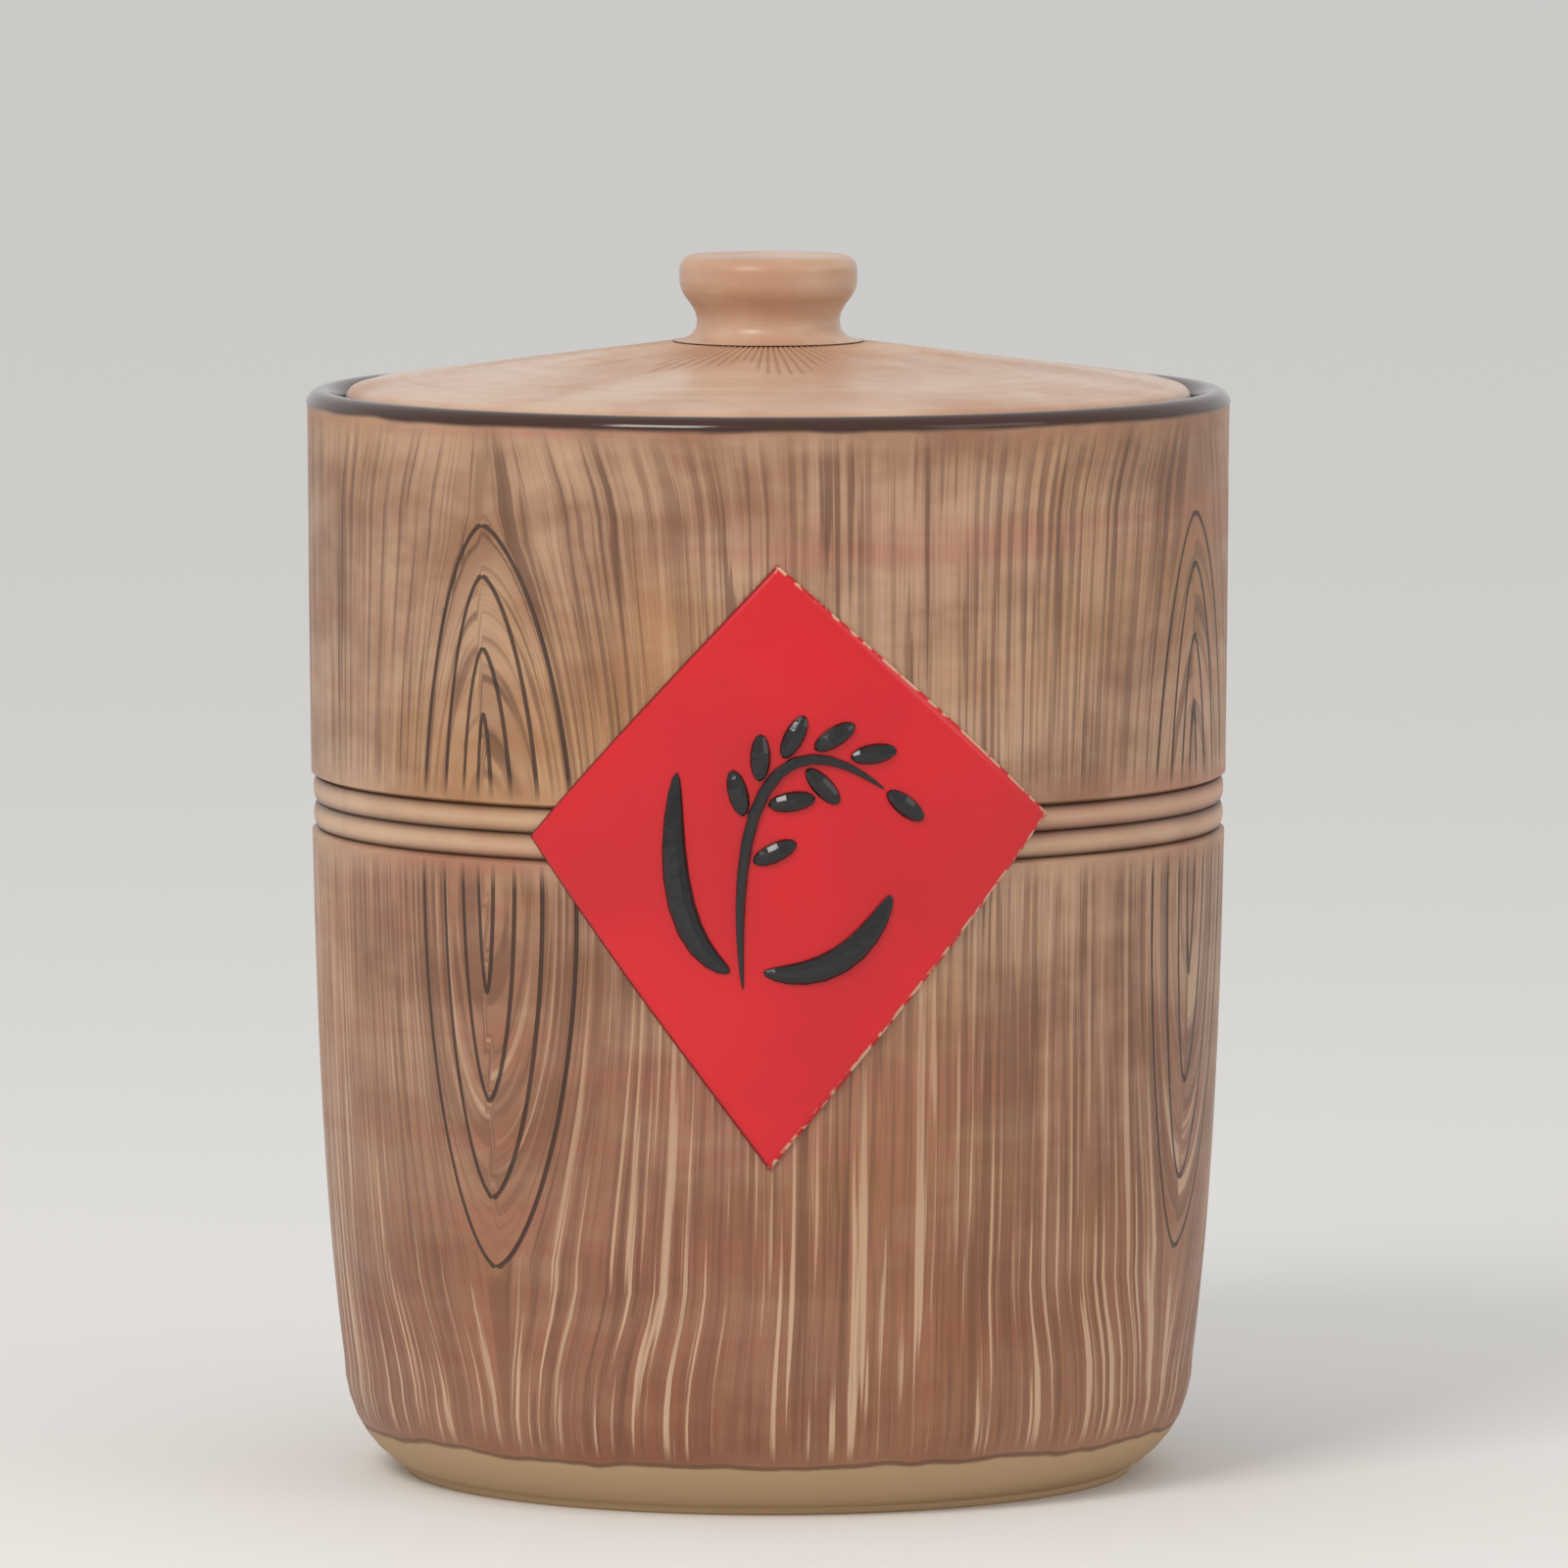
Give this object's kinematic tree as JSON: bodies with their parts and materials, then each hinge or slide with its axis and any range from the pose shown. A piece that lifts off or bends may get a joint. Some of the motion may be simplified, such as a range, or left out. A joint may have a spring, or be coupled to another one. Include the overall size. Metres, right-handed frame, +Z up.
{
  "type": "rice storage jar",
  "caption": "Lidded stoneware storage jar carved like a wooden tub, with a drop-in lid on an inner ledge, a round knob and a wrapped diamond plaque with a rice ear in relief.",
  "frame": {"origin": "on the jar's axis, on the surface that the foot ring stands on", "axes": "+Z up along the axis, -Y towards the front with the plaque, +X to the right seen from the front"},
  "size_m": [0.2594, 0.2625, 0.3434],
  "materials": {
    "wood_glaze": "carved wood-grain glaze, brown and grey-brown, satin",
    "pale_glaze": "pale pinkish beige glaze, satin",
    "red_glaze": "red glaze, gloss",
    "black_glaze": "black glaze, high gloss"
  },
  "bodies": {
    "jar": {"jar_body": "wood_glaze", "diamond_plaque": "red_glaze", "motif_stem": "black_glaze", "motif_leaf_left": "black_glaze", "motif_leaf_right": "black_glaze", "motif_grain_1": "black_glaze", "motif_grain_2": "black_glaze", "motif_grain_3": "black_glaze", "motif_grain_4": "black_glaze", "motif_grain_5": "black_glaze", "motif_grain_6": "black_glaze", "motif_grain_7": "black_glaze", "motif_grain_8": "black_glaze", "motif_grain_9": "black_glaze"},
    "lid": {"lid": "pale_glaze", "lid_knob": "pale_glaze"}
  },
  "joints": [
    {"name": "lid_lift", "type": "slide", "parent": "jar", "child": "lid", "axis": [0, 0, 1], "range_m": [0, 0.12]}
  ]
}
